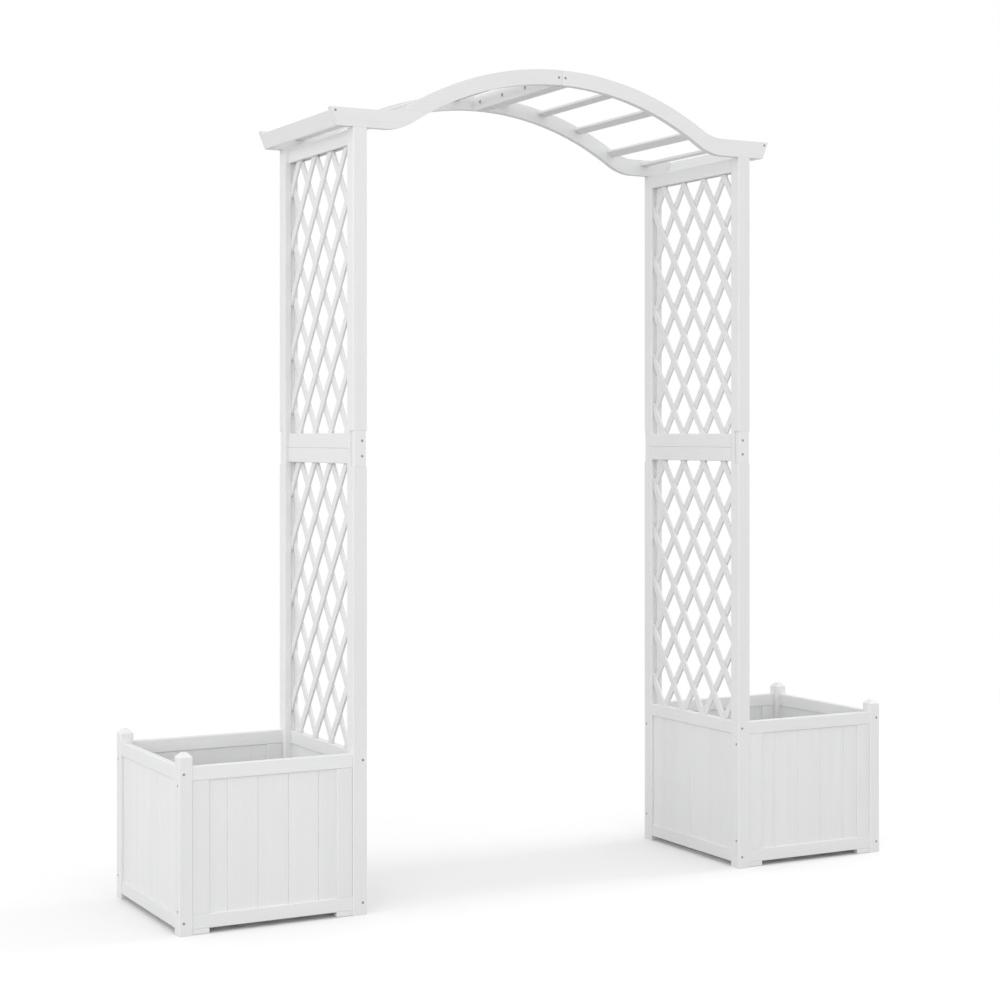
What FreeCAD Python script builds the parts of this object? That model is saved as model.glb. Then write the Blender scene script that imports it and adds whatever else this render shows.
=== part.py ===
# Garden arbor with planters: a painted softwood arch carried by two lattice towers,
# each tower rising from its own square planter. Lengths are millimetres. The arch spans
# X, the front faces -Y, up is +Z, and the origin is on the ground in mid passage.
import FreeCAD
import Part

import math
import os

from FreeCAD import Vector

# Overall layout
passage_width = 1145.0
planter_width = 500.0
planter_depth = 494.0
tall_post_height = 2000.0
short_post_height = 445.0
rim_height = 411.0
foot_height = 13.0

# Posts and the splice that joins the two lengths of a tall post
tall_post_section = 39.0
short_post_section = 35.0
post_edge_ease = 2.0
post_top_chamfer = 11.0
post_seam_height = 1184.0
splice_height = 91.0
splice_setback = 3.0

# Planter panels
rail_height = 36.0
rail_thickness = 18.0
panel_setback = 3.0
edge_ease = 1.5
stile_width = 44.0
tall_post_screw_inset = 27.0
short_post_screw_inset = 10.0
board_width = 81.0
board_thickness = 10.0
board_sink = 8.0
board_bevel = 1.5
tongue_length = 5.0
tongue_thickness = 3.2
joint_clearance = 0.3

# Planter base
base_height = 45.0
cleat_height = 25.0
cleat_thickness = 18.0
base_slat_count = 5
base_slat_thickness = 12.0
base_slat_gap = 14.0
base_play = 1.0

# Lattice and its rails
lattice_rail_height = 39.0
lattice_rail_thickness = 28.0
groove_depth = 6.0
strip_width = 20.0
strip_thickness = 6.0
diamond_count_across = 4
diamond_count_high = 5

# Arch
beam_depth = 47.0
crown_depth = 40.5
beam_thickness = 20.0
beam_overhang = 62.0
end_slant = 19.0
arch_rise = 154.0
lower_ease_radius = 152.0
upper_ease_radius = 135.0
shoulder_run = 50.0
slats_per_half = 5
slat_width = 27.0
slat_thickness = 8.0
slat_lift = 10.0
slat_housing = 8.0
first_slat_run = 78.0
last_slat_inset = 12.0
crown_board_thickness = 20.0
crown_board_height = 42.0
crown_board_drop = 3.0
end_board_thickness = 18.0
end_board_height = 42.0
end_board_drop = 8.0
end_screw_drop = 5.0

# Fasteners
screw_length = 60.0
arch_screw_length = 45.0
screw_head = 7.5
screw_shank = 4.0
screw_clearance = 0.15
fastener_side_count = 6
beam_screw_length = 90.0
bolt_shank = 5.0
bolt_head = 9.0
bolt_head_height = 3.0
crown_bolt_count = 3
crown_bolt_pitch = 132.0
crown_bolt_inset = 41.0

# Planes that several pieces share, all on the right-hand tower
inner_x = passage_width / 2
outer_x = inner_x + planter_width
tall_far_x = inner_x + tall_post_section
short_near_x = outer_x - short_post_section
half_depth = planter_depth / 2
tall_inner_y = half_depth - tall_post_section
short_inner_y = half_depth - short_post_section
panel_face_y = half_depth - panel_setback
panel_back_y = panel_face_y - rail_thickness
board_recess = (rail_thickness - board_thickness) / 2
panel_mid_offset = panel_setback + rail_thickness / 2
rail_top_low = rim_height - rail_height
rail_bottom_high = foot_height + rail_height
board_low = rail_bottom_high - board_sink
board_high = rail_top_low + board_sink - joint_clearance
lattice_plane = inner_x + lattice_rail_thickness / 2
groove_width = 2 * strip_thickness + joint_clearance

# The arch runs through a crown arc, an easing arc the other way, and a level end. Its beams
# are deeper at their ends than at the crown, so the centreline lies between two such curves.
ease_x = inner_x - shoulder_run
beam_top_z = tall_post_height + beam_depth
beam_end_x = tall_far_x + beam_overhang
beam_foot_x = beam_end_x - end_slant
beam_inner_y = half_depth - beam_thickness
upper_rise = arch_rise + crown_depth - beam_depth
mid_flat_z = tall_post_height + beam_depth / 2
mid_rise = (arch_rise + upper_rise) / 2
mid_ease_radius = (lower_ease_radius + upper_ease_radius) / 2
crown_low_z = tall_post_height + arch_rise
crown_mid_z = crown_low_z + crown_depth / 2
crown_board_low = crown_low_z - crown_board_drop
crown_board_mid = crown_board_low + crown_board_height / 2

along_x = Vector(1, 0, 0)
along_y = Vector(0, 1, 0)
along_z = Vector(0, 0, 1)

nodes = {}


def prism(points, travel):
    """Extrude the closed outline through the points along the travel vector."""
    outline = Part.makePolygon(points + points[:1])
    return Part.Face(outline).extrude(travel)


def block(low, high):
    """A square-edged block between two corners."""
    size = high - low
    return Part.makeBox(size.x, size.y, size.z, low)


def eased_bar(low, high, length_axis, ease=edge_ease):
    """A planed length of timber between two corners, its four long edges eased."""
    wide, thick = [axis for axis in (along_x, along_y, along_z) if axis != length_axis]
    size = high - low
    width = size.dot(wide)
    height = size.dot(thick)
    section = [(ease, 0), (width - ease, 0), (width, ease), (width, height - ease),
               (width - ease, height), (ease, height), (0, height - ease), (0, ease)]
    points = [low + wide * u + thick * v for u, v in section]
    return prism(points, length_axis * size.dot(length_axis))


def mirrored(solids, normal):
    """The same solids on the other side of a plane through the origin."""
    return [solid.mirror(Vector(0, 0, 0), normal) for solid in solids]


def front_and_back(solids):
    """Solids made for the back, with their twins at the front."""
    return solids + mirrored(solids, along_y)


def cut_all(solid, cutters):
    """Cut away every cutter that reaches the solid, leaving one clean solid."""
    near = [tool for tool in cutters if tool.BoundBox.intersect(solid.BoundBox)]
    if not near:
        return solid
    return solid.cut(near).Solids[0]


def add_node(name, solids):
    """Keep one named node, which holds one solid or a group of like ones."""
    nodes[name] = solids


def add_pair(name, solids):
    """Keep a right-hand node and its mirrored twin on the left."""
    add_node("right_" + name, solids)
    add_node("left_" + name, mirrored(solids, along_x))


# Fasteners: each screw is a place, a direction and a length, and its hole follows it

def faceted(profile, place, direction):
    """Turn a (radius, depth) profile about an axis from the place, in flat facets."""
    rings = []
    for radius, depth in profile:
        angles = [2 * math.pi * (index + 0.5) / fastener_side_count
                  for index in range(fastener_side_count)]
        rings.append([Vector(radius * math.cos(angle), radius * math.sin(angle), depth)
                      for angle in angles])
    outlines = [rings[0], rings[-1]]
    for near, far in zip(rings, rings[1:]):
        for index in range(fastener_side_count):
            after = (index + 1) % fastener_side_count
            outlines.append([near[index], near[after], far[after], far[index]])
    faces = [Part.Face(Part.makePolygon(points + points[:1])) for points in outlines]
    solid = Part.Solid(Part.Shell(faces))
    solid.Placement = FreeCAD.Placement(place, FreeCAD.Rotation(along_z, direction))
    return solid


def screw_profile(length, gap):
    """Half section of a countersunk screw, grown by a gap for its hole."""
    head = screw_head / 2 + gap
    shank = screw_shank / 2 + gap
    return [(head, 0), (shank, head - shank), (shank, length + gap)]


def make_screws(spots):
    return [faceted(screw_profile(length, 0), place, way) for place, way, length in spots]


def make_holes(spots):
    return [faceted(screw_profile(length, screw_clearance), place, way)
            for place, way, length in spots]


def tower_screw_spots():
    """Screws of the right-hand tower: into side rails, stiles and the mid lattice rails."""
    spots = []
    rail_mids = (foot_height + rail_height / 2, rim_height - rail_height / 2)
    for side in (-1, 1):
        inward = Vector(0, -side, 0)
        for x in (inner_x + panel_mid_offset, outer_x - panel_mid_offset):
            for z in rail_mids:
                spots.append((Vector(x, side * half_depth, z), inward, screw_length))
        panel_mid_y = side * (half_depth - panel_mid_offset)
        for x, way, inset in ((inner_x, along_x, tall_post_screw_inset),
                              (outer_x, -along_x, short_post_screw_inset)):
            for z in (rail_bottom_high + inset, rail_top_low - inset):
                spots.append((Vector(x, panel_mid_y, z), way, screw_length))
        for step in (-1, 1):
            z = post_seam_height + step * lattice_rail_height / 2
            spots.append((Vector(lattice_plane, side * half_depth, z), inward, screw_length))
    return spots


def arch_screw_spots():
    """Screws through the beams into the crown boards and the end boards."""
    spots = []
    end_x, end_z = end_board_point(end_screw_drop, end_board_thickness / 2)
    for side in (-1, 1):
        inward = Vector(0, -side, 0)
        for half in (-1, 1):
            crown = Vector(half * crown_board_thickness / 2, side * half_depth, crown_mid_z)
            end = Vector(half * end_x, side * half_depth, end_z)
            spots.append((crown, inward, arch_screw_length))
            spots.append((end, inward, arch_screw_length))
    return spots


def beam_screw_spots():
    """Long screws down through the beams into the tops of the tall posts."""
    post_mid_x = inner_x + tall_post_section / 2
    beam_mid_y = half_depth - beam_thickness / 2
    return [(Vector(half * post_mid_x, side * beam_mid_y, beam_top_z), -along_z, beam_screw_length)
            for half in (-1, 1) for side in (-1, 1)]


def end_board_point(down, inward):
    """A point of the end board's section, from its upper outer corner on the beams' cut."""
    slope = Vector(-end_slant, 0, -beam_depth).normalize()
    across = Vector(slope.z, 0, -slope.x)
    corner = Vector(beam_end_x, 0, beam_top_z) + slope * end_board_drop
    point = corner + slope * down + across * inward
    return point.x, point.z


# Posts

def square_post(low_x, section, low_z, high_z):
    """A back post with eased long edges, from one height to another."""
    low = Vector(low_x, half_depth - section, low_z)
    high = Vector(low_x + section, half_depth, high_z)
    return eased_bar(low, high, along_z, post_edge_ease)


def short_post():
    """An outer corner post with its top chamfered on all four sides."""
    width = short_post_section
    post = square_post(short_near_x, width, 0, short_post_height)
    shoulder = short_post_height - post_top_chamfer
    outline = [(0, 0), (width, 0), (width, shoulder), (width - post_top_chamfer, short_post_height),
               (post_top_chamfer, short_post_height), (0, shoulder)]
    corner = Vector(short_near_x, short_inner_y, 0)
    for across, along in ((along_x, along_y), (along_y, along_x)):
        points = [corner + across * u + along_z * z for u, z in outline]
        post = post.common(prism(points, along * width))
    return post.Solids[0]


def lattice_groove():
    """The groove down a tall post that takes the lattice and the rails' stub tenons."""
    half = groove_width / 2
    low = Vector(lattice_plane - half, tall_inner_y, rim_height)
    return block(low, Vector(lattice_plane + half, tall_inner_y + groove_depth,
                             tall_post_height))


def splice_notch():
    """The notch across the outer half of a tall post, half above its seam and half below."""
    half = splice_height / 2
    low = Vector(inner_x, half_depth - tall_post_section / 2, post_seam_height - half)
    return block(low, Vector(tall_far_x, half_depth, post_seam_height + half))


def splice_plate():
    """The block that fills the notch, set in a little from the post's side faces."""
    half = splice_height / 2
    low = Vector(inner_x + splice_setback, half_depth - tall_post_section / 2,
                 post_seam_height - half)
    high = Vector(tall_far_x - splice_setback, half_depth, post_seam_height + half)
    return eased_bar(low, high, along_z)


def build_posts(holes):
    cuts = [lattice_groove(), splice_notch()]
    width = tall_post_section
    lower = cut_all(square_post(inner_x, width, 0, post_seam_height), cuts)
    upper = cut_all(square_post(inner_x, width, post_seam_height, tall_post_height), cuts)
    posts = {"short_post": short_post(), "lower_post": lower, "upper_post": upper}
    for name, back in posts.items():
        front = mirrored([back], along_y)[0]
        add_pair(name + "_back", [cut_all(back, holes)])
        add_pair(name + "_front", [cut_all(front, holes)])
    plates = front_and_back([splice_plate()])
    add_pair("splice_plates", [cut_all(plate, holes) for plate in plates])


# Planter panels

def board_section(width, has_groove, has_tongue):
    """Section of a tongue-and-groove board: run along the panel, depth behind its face."""
    mid = board_thickness / 2
    tongue = tongue_thickness / 2
    slot = tongue + joint_clearance / 2
    slot_depth = tongue_length + joint_clearance
    section = [(board_bevel, 0), (width - board_bevel, 0), (width, board_bevel)]
    if has_tongue:
        section += [(width, mid - tongue), (width + tongue_length, mid - tongue),
                    (width + tongue_length, mid + tongue), (width, mid + tongue)]
    section += [(width, board_thickness), (0, board_thickness)]
    if has_groove:
        section += [(0, mid + slot), (slot_depth, mid + slot),
                    (slot_depth, mid - slot), (0, mid - slot)]
    return section + [(0, board_bevel)]


def panel_boards(start, run, inward, span):
    """Upright tongue-and-groove boards across a span, the first and last ripped to fit."""
    full_count = int(span // board_width) - 1
    ripped = (span - full_count * board_width) / 2
    widths = [ripped] + [board_width] * full_count + [ripped]
    rise = along_z * (board_high - board_low)
    boards = []
    foot = start
    for index, width in enumerate(widths):
        section = board_section(width, index > 0, index < full_count + 1)
        points = [foot + run * u + inward * v for u, v in section]
        boards.append(prism(points, rise))
        foot = foot + run * width
    return boards


def board_pocket(start, run, inward, span):
    """The space around a panel's boards, which cuts their grooves into the frame."""
    play = joint_clearance
    corner = start - run * play - inward * (play / 2)
    reach = run * (span + 2 * play) + inward * (board_thickness + play)
    reach += along_z * (board_high - board_low + play)
    corners = (corner, corner + reach)
    low = Vector(*[min(values) for values in zip(*corners)])
    return block(low, Vector(*[max(values) for values in zip(*corners)]))


def rail_pair(low_x, low_y, high_x, high_y, length_axis):
    """A top rail and a bottom rail on the same plan."""
    rails = []
    for low_z, high_z in ((foot_height, rail_bottom_high), (rail_top_low, rim_height)):
        low = Vector(low_x, low_y, low_z)
        rails.append(eased_bar(low, Vector(high_x, high_y, high_z), length_axis))
    return rails


def build_framed_panels(holes):
    """Back and front panels: rails, stiles, boards let into both, and foot blocks below."""
    edge = stile_width - board_sink + joint_clearance
    span = short_near_x - tall_far_x - 2 * edge
    start = Vector(tall_far_x + edge, panel_face_y - board_recess, board_low)
    boards = panel_boards(start, along_x, -along_y, span)
    pocket = board_pocket(start, along_x, -along_y, span)
    rails = rail_pair(tall_far_x, panel_back_y, short_near_x, panel_face_y, along_x)
    rails = [cut_all(rail, [pocket]) for rail in rails]
    stiles = []
    feet = []
    for low_x in (tall_far_x, short_near_x - stile_width):
        high_x = low_x + stile_width
        stile = eased_bar(Vector(low_x, panel_back_y, rail_bottom_high),
                          Vector(high_x, panel_face_y, rail_top_low), along_z)
        stiles.append(cut_all(stile, [pocket]))
        feet.append(eased_bar(Vector(low_x, panel_back_y, 0),
                              Vector(high_x, panel_face_y, foot_height), along_x))
    stiles = {"back": stiles, "front": mirrored(stiles, along_y)}
    for place, pieces in stiles.items():
        add_pair(place + "_panel_stiles", [cut_all(stile, holes) for stile in pieces])
    add_pair("back_panel_rails", rails)
    add_pair("back_panel_boards", boards)
    add_pair("front_panel_rails", mirrored(rails, along_y))
    add_pair("front_panel_boards", mirrored(boards, along_y))
    add_pair("foot_blocks", front_and_back(feet))


def build_side_panels(holes):
    """Outer and inner panels: two rails between the posts, with boards let into them."""
    sides = {"outer": (outer_x - panel_setback, -1, short_inner_y),
             "inner": (inner_x + panel_setback, 1, tall_inner_y)}
    for name, (face_x, way, end_y) in sides.items():
        low_x, high_x = sorted((face_x, face_x + way * rail_thickness))
        start = Vector(face_x + way * board_recess, -end_y, board_low)
        boards = panel_boards(start, along_y, along_x * way, 2 * end_y)
        pocket = board_pocket(start, along_y, along_x * way, 2 * end_y)
        rails = rail_pair(low_x, -end_y, high_x, end_y, along_y)
        add_pair(name + "_panel_rails", [cut_all(rail, [pocket] + holes) for rail in rails])
        add_pair(name + "_panel_boards", boards)


def build_base():
    """Cleats on the inside of the framed panels, and the slats that lie on them."""
    low_x = tall_far_x + base_play
    high_x = short_near_x - base_play
    cleat = eased_bar(Vector(low_x, panel_back_y - cleat_thickness, base_height - cleat_height),
                      Vector(high_x, panel_back_y, base_height), along_x)
    add_pair("base_cleats", front_and_back([cleat]))
    slat_run = (high_x - low_x + base_slat_gap) / base_slat_count
    slat_end = panel_back_y - base_play
    slats = []
    for index in range(base_slat_count):
        slat_x = low_x + slat_run * index
        low = Vector(slat_x, -slat_end, base_height)
        high = Vector(slat_x + slat_run - base_slat_gap, slat_end,
                      base_height + base_slat_thickness)
        slats.append(eased_bar(low, high, along_y))
    add_pair("base_slats", slats)


# Lattice

def lattice_rail(low_z, grooves):
    """A rail between the tall posts, with a stub tenon at each end and panel grooves."""
    half = lattice_rail_thickness / 2
    low = Vector(lattice_plane - half, -tall_inner_y, low_z)
    high_z = low_z + lattice_rail_height
    rail = eased_bar(low, Vector(lattice_plane + half, tall_inner_y, high_z), along_y)
    tenon_end = tall_inner_y + groove_depth - joint_clearance
    tenon = block(Vector(lattice_plane - strip_thickness, -tenon_end, low_z + groove_depth),
                  Vector(lattice_plane + strip_thickness, tenon_end, high_z - groove_depth))
    rail = rail.fuse(tenon).removeSplitter().Solids[0]
    return cut_all(rail, grooves)


def lattice_panel(low_z, high_z, sink_low, sink_high):
    """Crossed strips in two layers, trimmed to the opening and the grooves around it."""
    reach = tall_inner_y + groove_depth - joint_clearance
    step_y = tall_inner_y / diamond_count_across
    step_z = (high_z - low_z) / (2 * diamond_count_high)
    columns = 2 * diamond_count_across
    rows = 2 * diamond_count_high
    tilt = math.degrees(math.atan2(step_z, step_y))
    length = 2 * (reach + high_z - low_z)
    strips = []
    for layer, lean in ((-strip_thickness, 1), (0, -1)):
        trim = block(Vector(lattice_plane + layer, -reach, low_z - sink_low),
                     Vector(lattice_plane + layer + strip_thickness, reach, high_z + sink_high))
        for index in range(1 - columns, rows, 2):
            middle_row = index + columns / 2
            middle = Vector(lattice_plane + layer, 0, low_z + step_z * middle_row)
            strip = Part.makeBox(strip_thickness, length, strip_width,
                                 Vector(0, -length / 2, -strip_width / 2))
            turn = FreeCAD.Rotation(along_x, lean * tilt)
            strip.Placement = FreeCAD.Placement(middle, turn)
            strips += strip.common(trim).Solids
    return strips


def rail_groove(edge_z, way):
    """The groove along a lattice rail's edge that takes the ends of the strips."""
    half = groove_width / 2
    ends = sorted((edge_z, edge_z + way * groove_depth))
    return block(Vector(lattice_plane - half, -tall_inner_y, ends[0]),
                 Vector(lattice_plane + half, tall_inner_y, ends[1]))


def build_lattice(holes):
    """Two mid rails, a top rail, and a lattice panel below and above the mid rails."""
    lower_top = post_seam_height - lattice_rail_height
    upper_low = post_seam_height + lattice_rail_height
    upper_top = tall_post_height - lattice_rail_height
    rails = [lattice_rail(lower_top, [rail_groove(lower_top, 1)]),
             lattice_rail(post_seam_height, [rail_groove(upper_low, -1)]),
             lattice_rail(upper_top, [rail_groove(upper_top, 1)])]
    sink = groove_depth - joint_clearance
    add_pair("lattice_rails", [cut_all(rail, holes) for rail in rails])
    add_pair("lower_lattice", lattice_panel(rim_height, lower_top, 0, sink))
    add_pair("upper_lattice", lattice_panel(upper_low, upper_top, sink, sink))


# Arch

def crown_arc(rise, ease):
    """Radius and angle of the crown arc that flows into an easing arc of a given radius."""
    radius = (ease_x ** 2 / rise + rise) / 2 - ease
    return radius, math.asin(ease_x / (radius + ease))


def centreline(run):
    """Place and downward slope of the arch's centreline, a run away from the crown."""
    radius, sweep = crown_arc(mid_rise, mid_ease_radius)
    ease_start = radius * sweep
    ease_end = ease_start + mid_ease_radius * sweep
    if run <= ease_start:
        slope = run / radius
        drop = radius * (1 - math.cos(slope))
        return radius * math.sin(slope), mid_flat_z + mid_rise - drop, slope
    if run <= ease_end:
        slope = sweep - (run - ease_start) / mid_ease_radius
        x = ease_x - mid_ease_radius * math.sin(slope)
        return x, mid_flat_z + mid_ease_radius * (1 - math.cos(slope)), slope
    return ease_x + run - ease_end, mid_flat_z, 0.0


def beam_edge(flat_z, rise, ease):
    """One long edge of a beam: its crown arc and its easing arc, outward from the crown."""
    radius, sweep = crown_arc(rise, ease)
    crown_points = [Vector(radius * math.sin(angle), 0,
                           flat_z + rise - radius * (1 - math.cos(angle)))
                    for angle in (0, sweep / 2, sweep)]
    ease_points = [Vector(ease_x - ease * math.sin(angle), 0,
                          flat_z + ease * (1 - math.cos(angle)))
                   for angle in (sweep, sweep / 2, 0)]
    arcs = [Part.Arc(*crown_points).toShape(), Part.Arc(*ease_points).toShape()]
    return arcs, crown_points[0], ease_points[-1]


def half_beam():
    """The right half of the back beam: curved edges, a level end and a slanted end cut."""
    upper, upper_crown, upper_flat = beam_edge(beam_top_z, upper_rise, upper_ease_radius)
    lower, lower_crown, lower_flat = beam_edge(tall_post_height, arch_rise, lower_ease_radius)
    end_top = Vector(beam_end_x, 0, beam_top_z)
    end_low = Vector(beam_foot_x, 0, tall_post_height)
    straight = [Part.makeLine(upper_flat, end_top), Part.makeLine(end_top, end_low),
                Part.makeLine(end_low, lower_flat), Part.makeLine(lower_crown, upper_crown)]
    outline = Part.Wire(Part.__sortEdges__(upper + straight + lower))
    beam = Part.Face(outline).extrude(along_y * beam_thickness)
    beam.translate(along_y * beam_inner_y)
    return beam


def slat_runs():
    """How far along the centreline each slat of one half lies from the crown."""
    radius, sweep = crown_arc(mid_rise, mid_ease_radius)
    last = (radius + mid_ease_radius) * sweep + shoulder_run - last_slat_inset
    pitch = (last - first_slat_run) / (slats_per_half - 1)
    return [first_slat_run + pitch * index for index in range(slats_per_half)]


def arch_slat(run, gap):
    """A slat across the arch, housed in both beams, or its housing when a gap is given."""
    x, z, slope = centreline(run)
    end = beam_inner_y + slat_housing + gap
    corner = Vector(slat_width / 2 + gap, end, slat_thickness / 2 + gap)
    slat = eased_bar(-corner, corner, along_y)
    turn = FreeCAD.Rotation(along_y, math.degrees(slope))
    lift = turn.multVec(along_z * slat_lift)
    slat.Placement = FreeCAD.Placement(Vector(x, 0, z) + lift, turn)
    return slat


def crown_board():
    """The board at the crown that joins one half of the arch to the other."""
    low = Vector(0, -beam_inner_y, crown_board_low)
    high = Vector(crown_board_thickness, beam_inner_y, crown_board_low + crown_board_height)
    return eased_bar(low, high, along_y)


def end_board():
    """The board between the beams' slanted ends, leaning with their cut."""
    corners = ((0, 0), (end_board_height, 0), (end_board_height, end_board_thickness),
               (0, end_board_thickness))
    points = []
    for down, inward in corners:
        x, z = end_board_point(down, inward)
        points.append(Vector(x, -beam_inner_y, z))
    return prism(points, along_y * 2 * beam_inner_y)


def crown_bolt_places():
    """Where the bolts pass through the crown boards, counted from the back beam."""
    first = beam_inner_y - crown_bolt_inset
    return [Vector(0, first - crown_bolt_pitch * index, crown_board_mid)
            for index in range(crown_bolt_count)]


def bolt_profile(grip):
    """Half section of a bolt with a round head at one end and a round nut at the other."""
    head = bolt_head / 2
    shank = bolt_shank / 2
    nut_start = bolt_head_height + grip
    return [(head, 0), (head, bolt_head_height), (shank, bolt_head_height),
            (shank, nut_start), (head, nut_start), (head, nut_start + bolt_head_height)]


def build_arch(holes):
    grip = 2 * crown_board_thickness
    bore = bolt_shank / 2 + screw_clearance
    bolts = []
    bores = []
    for place in crown_bolt_places():
        start = place - along_x * (crown_board_thickness + bolt_head_height)
        bolts.append(faceted(bolt_profile(grip), start, along_x))
        bores.append(faceted([(bore, 0), (bore, grip + 2 * bolt_head_height)], start, along_x))
    runs = slat_runs()
    housings = [arch_slat(run, joint_clearance) for run in runs]
    housings += mirrored(housings, along_x)
    back_right = half_beam()
    slats = [arch_slat(run, 0) for run in runs]
    ends = [end_board()]
    crown = [cut_all(crown_board(), bores)]
    for place, beams in (("back", [back_right]), ("front", mirrored([back_right], along_y))):
        halves = {"right": beams[0], "left": mirrored(beams, along_x)[0]}
        for half, beam in halves.items():
            name = "arch_beam_" + place + "_" + half
            add_node(name, [cut_all(beam, housings + holes)])
    boards = {"right": crown, "left": mirrored(crown, along_x)}
    for half, pieces in boards.items():
        add_node("crown_board_" + half, [cut_all(board, holes) for board in pieces])
    end_pair = ends + mirrored(ends, along_x)
    add_node("end_boards", [cut_all(board, holes) for board in end_pair])
    add_node("arch_slats_right", slats)
    add_node("arch_slats_left", mirrored(slats, along_x))
    add_node("crown_bolts", bolts)


def build_arbor():
    tower_spots = tower_screw_spots()
    arch_spots = arch_screw_spots()
    beam_spots = beam_screw_spots()
    tower_holes = make_holes(tower_spots)
    beam_holes = make_holes(beam_spots)
    build_posts(tower_holes + beam_holes)
    build_framed_panels(tower_holes)
    build_side_panels(tower_holes)
    build_base()
    build_lattice(tower_holes)
    build_arch(make_holes(arch_spots) + beam_holes)
    add_pair("tower_screws", make_screws(tower_spots))
    add_node("arch_screws", make_screws(arch_spots))
    add_node("beam_screws", make_screws(beam_spots))


def save_nodes():
    os.makedirs("parts", exist_ok=True)
    for name, solids in sorted(nodes.items()):
        shape = solids[0] if len(solids) == 1 else Part.makeCompound(solids)
        shape.exportStep("parts/" + name + ".step")
        print(name, len(solids), "solids")


build_arbor()
save_nodes()
print(len(nodes), "nodes")
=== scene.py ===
# %% [markdown]
# # A white garden arbor with two planters
# Two square planters of boarded panels carry lattice towers, and an arched, slatted top joins
# the towers over a walk-through. Everything is softwood under white satin paint, and only the
# screws and bolts are metal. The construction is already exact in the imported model, so this lesson
# gives each timber its eased edges, its grain and its paint, and then sets up the picture.

# %% Load the fixed frame
import math
import random

import bmesh
import bpy
from mathutils import Matrix, Vector


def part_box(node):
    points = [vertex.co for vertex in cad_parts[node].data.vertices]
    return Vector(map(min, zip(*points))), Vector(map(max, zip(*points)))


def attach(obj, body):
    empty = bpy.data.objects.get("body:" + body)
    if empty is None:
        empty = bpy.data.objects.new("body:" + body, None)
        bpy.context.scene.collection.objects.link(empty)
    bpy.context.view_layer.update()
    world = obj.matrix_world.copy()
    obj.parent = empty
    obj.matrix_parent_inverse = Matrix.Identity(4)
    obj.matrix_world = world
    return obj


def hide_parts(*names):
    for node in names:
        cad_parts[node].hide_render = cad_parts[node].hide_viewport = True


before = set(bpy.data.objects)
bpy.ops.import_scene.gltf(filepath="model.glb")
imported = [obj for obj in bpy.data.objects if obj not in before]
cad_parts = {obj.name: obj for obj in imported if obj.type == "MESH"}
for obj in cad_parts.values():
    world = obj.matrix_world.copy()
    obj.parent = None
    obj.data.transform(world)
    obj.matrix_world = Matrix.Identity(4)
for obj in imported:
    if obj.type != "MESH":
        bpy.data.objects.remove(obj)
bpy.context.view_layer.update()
MM = 0.001
SIDES = ("left", "right")
ENDS = ("front", "back")
print("frame nodes:", len(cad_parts))

# %% [markdown]
# ## Node maths as plain expressions
# Shader and geometry node trees are easier to read as formulas than as piles of links. One small
# class wraps an output socket: its operators add Math nodes, and one method adds any other node.
# Numbers stay numbers until they meet a socket, so nothing constant costs a node.


# %% A wire between nodes
class Wire:
    """One output socket of a node tree, with operators that add Math nodes."""

    def __init__(self, tree, socket=None):
        self.tree = tree
        self.socket = socket

    def node(self, kind, settings=None, sockets=None, output=0):
        """Add a node: its settings first, then values or wires for its sockets."""
        made = self.tree.nodes.new(kind)
        for name, value in (settings or {}).items():
            setattr(made, name, value)
        for name, value in (sockets or {}).items():
            for item in value if isinstance(value, list) else [value]:
                if isinstance(item, Wire):
                    self.tree.links.new(item.socket, made.inputs[name])
                else:
                    made.inputs[name].default_value = item
        return Wire(self.tree, made.outputs[output])

    def others(self):
        """Every output of this wire's node, in order."""
        return [Wire(self.tree, socket) for socket in self.socket.node.outputs]

    def maths(self, operation, *values):
        return self.node("ShaderNodeMath", {"operation": operation}, dict(enumerate(values)))

    def __add__(self, other):
        return self.maths("ADD", self, other)

    def __radd__(self, other):
        return self.maths("ADD", other, self)

    def __sub__(self, other):
        return self.maths("SUBTRACT", self, other)

    def __rsub__(self, other):
        return self.maths("SUBTRACT", other, self)

    def __mul__(self, other):
        return self.maths("MULTIPLY", self, other)

    def __rmul__(self, other):
        return self.maths("MULTIPLY", other, self)

    def __truediv__(self, other):
        return self.maths("DIVIDE", self, other)

    def __pow__(self, other):
        return self.maths("POWER", self, other)

    def mixed(self, low, high):
        """A colour between two others, as far along as this wire says."""
        sockets = {0: self, 6: low, 7: high}
        return self.node("ShaderNodeMix", {"data_type": "RGBA"}, sockets, 2)


def vector(x, y, z):
    """Join three wires or numbers, at least one of them a wire, into a vector."""
    wire = next(part for part in (x, y, z) if isinstance(part, Wire))
    return wire.node("ShaderNodeCombineXYZ", None, {0: x, 1: y, 2: z})


print("node maths ready")

# %% [markdown]
# ## White satin paint on softwood
# The real timber is fast-grown softwood, sprayed white. The coat hides the colour of the wood but
# not its relief: growth rings stand a little proud along each piece, fibres leave hairline
# streaks, a few knots shadow through, and the coat thins over the eased edges.
#
# An image of wood would repeat and would not know which way a board runs. Instead, each timber
# carries a `grain` vector, its own coordinates along, across and through the piece, and a random
# `tone`, so that one material gives every board its own stretch of a tree.

# %% The paint material
PAINT_LIGHT = (0.828, 0.832, 0.831, 1)
PAINT_SHADE = (0.742, 0.746, 0.745, 1)
THIN_COAT = (0.85, 0.845, 0.83, 1)
KNOT_STAIN = (0.66, 0.65, 0.62, 1)
RING_PITCH = 5.5 * MM
PITH_DEPTH = 55 * MM
PITH_SPREAD = 70 * MM
RING_WANDER = 9 * MM
TRUNK_TAPER = 0.012
RING_SHARPNESS = 3

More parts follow.
